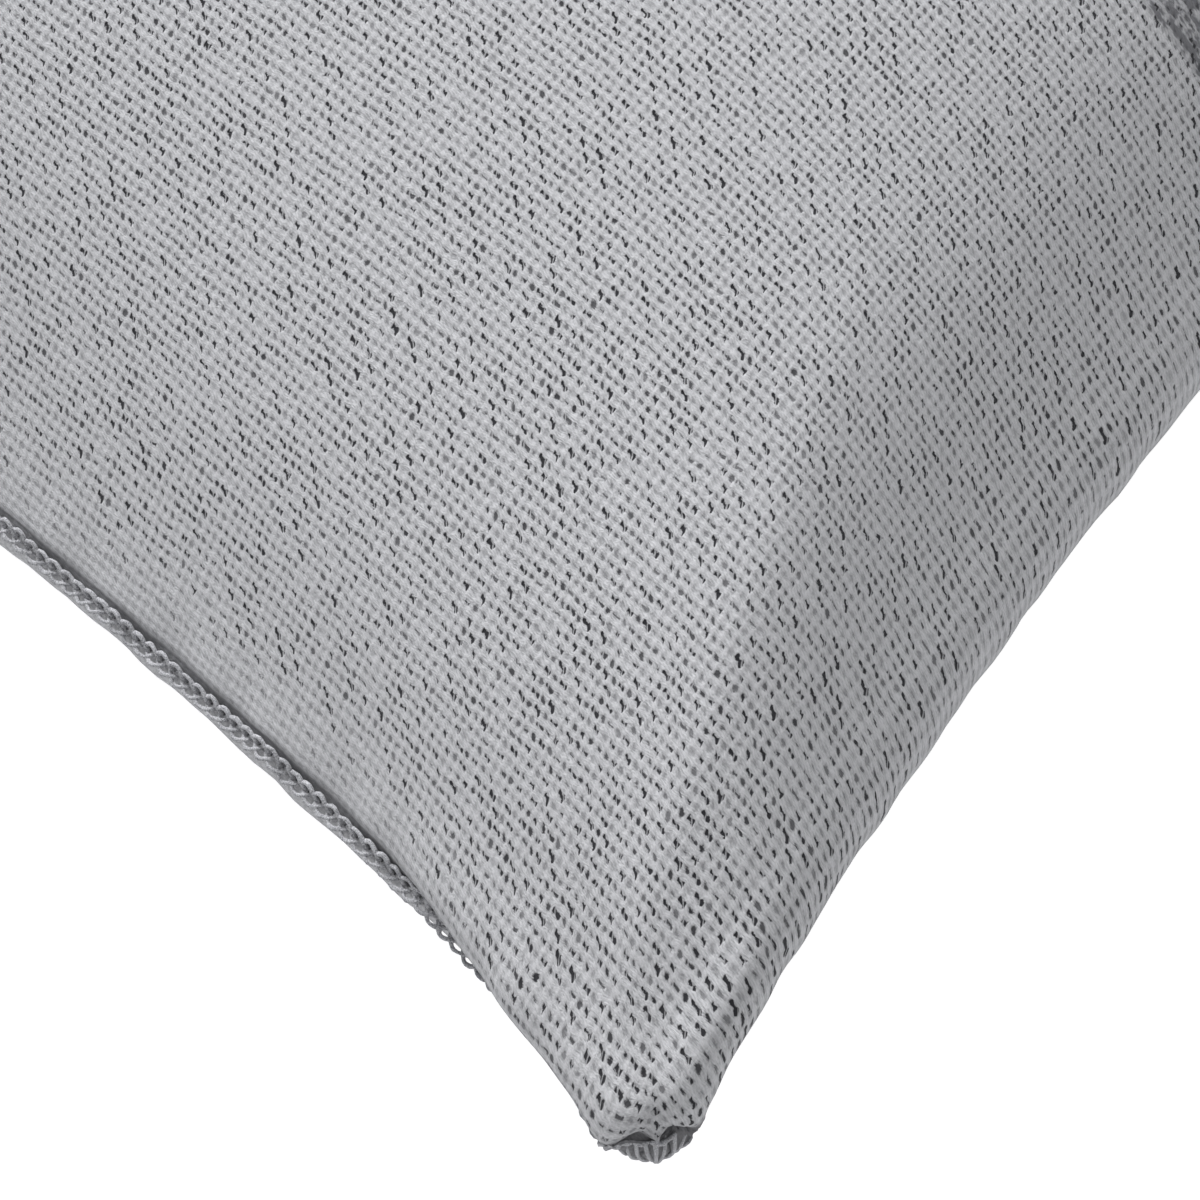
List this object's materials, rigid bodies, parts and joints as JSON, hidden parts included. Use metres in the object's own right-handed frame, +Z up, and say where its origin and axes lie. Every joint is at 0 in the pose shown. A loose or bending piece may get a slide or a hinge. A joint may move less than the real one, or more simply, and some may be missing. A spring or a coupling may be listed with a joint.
{
  "type": "throw pillow",
  "caption": "Square knitted throw pillow: two panels linked round the edge, a zip along the rear edge and a filled insert inside.",
  "frame": {"origin": "middle of the footprint, on the flattened middle of the back panel that the pillow lies on", "axes": "+Z up through the front panel, -Y towards the front edge, +Y towards the zip"},
  "size_m": [0.4456, 0.4435, 0.144],
  "materials": {
    "knit": "fine-gauge tuck-stitch knit in heathered light grey, with a darker grey band across the front",
    "linking_yarn": "chain stitch in the same light grey yarn",
    "zip_tape": "woven twill tape",
    "zip_coil": "satin nylon coil",
    "zip_metal": "satin nickel",
    "sewing_thread": "spun thread",
    "label_ribbon": "blank woven ribbon",
    "insert_cotton": "plain woven cotton",
    "insert_thread": "overlocked seam",
    "fibre_fill": "lofty polyester fibre"
  },
  "bodies": {
    "pillow": {"cover_front": "knit", "cover_back": "knit", "seam_front": "linking_yarn", "seam_left": "linking_yarn", "seam_right": "linking_yarn", "seam_rear_left": "linking_yarn", "seam_rear_right": "linking_yarn", "zip_tape_front": "zip_tape", "zip_tape_back": "zip_tape", "zip_coil_front": "zip_coil", "zip_coil_back": "zip_coil", "zip_top_stop_front": "zip_metal", "zip_top_stop_back": "zip_metal", "zip_bottom_stop": "zip_metal", "zip_stitching_front": "sewing_thread", "zip_stitching_back": "sewing_thread", "care_label": "label_ribbon", "insert_casing_front": "insert_cotton", "insert_casing_back": "insert_cotton", "insert_seam": "insert_thread", "fill_core": "fibre_fill"},
    "slider": {"zip_slider_body": "zip_metal"},
    "pull": {"zip_pull_tab": "zip_metal"}
  },
  "joints": [
    {"name": "zip_slide", "type": "slide", "parent": "pillow", "child": "slider", "axis": [1, 0, 0], "range_m": [0, 0.289]},
    {"name": "pull_hinge", "type": "hinge", "parent": "slider", "child": "pull", "pos_m": [-0.1452, 0.2086, 0.062], "axis": [0, 0, 1], "range_deg": [0, 170]}
  ]
}
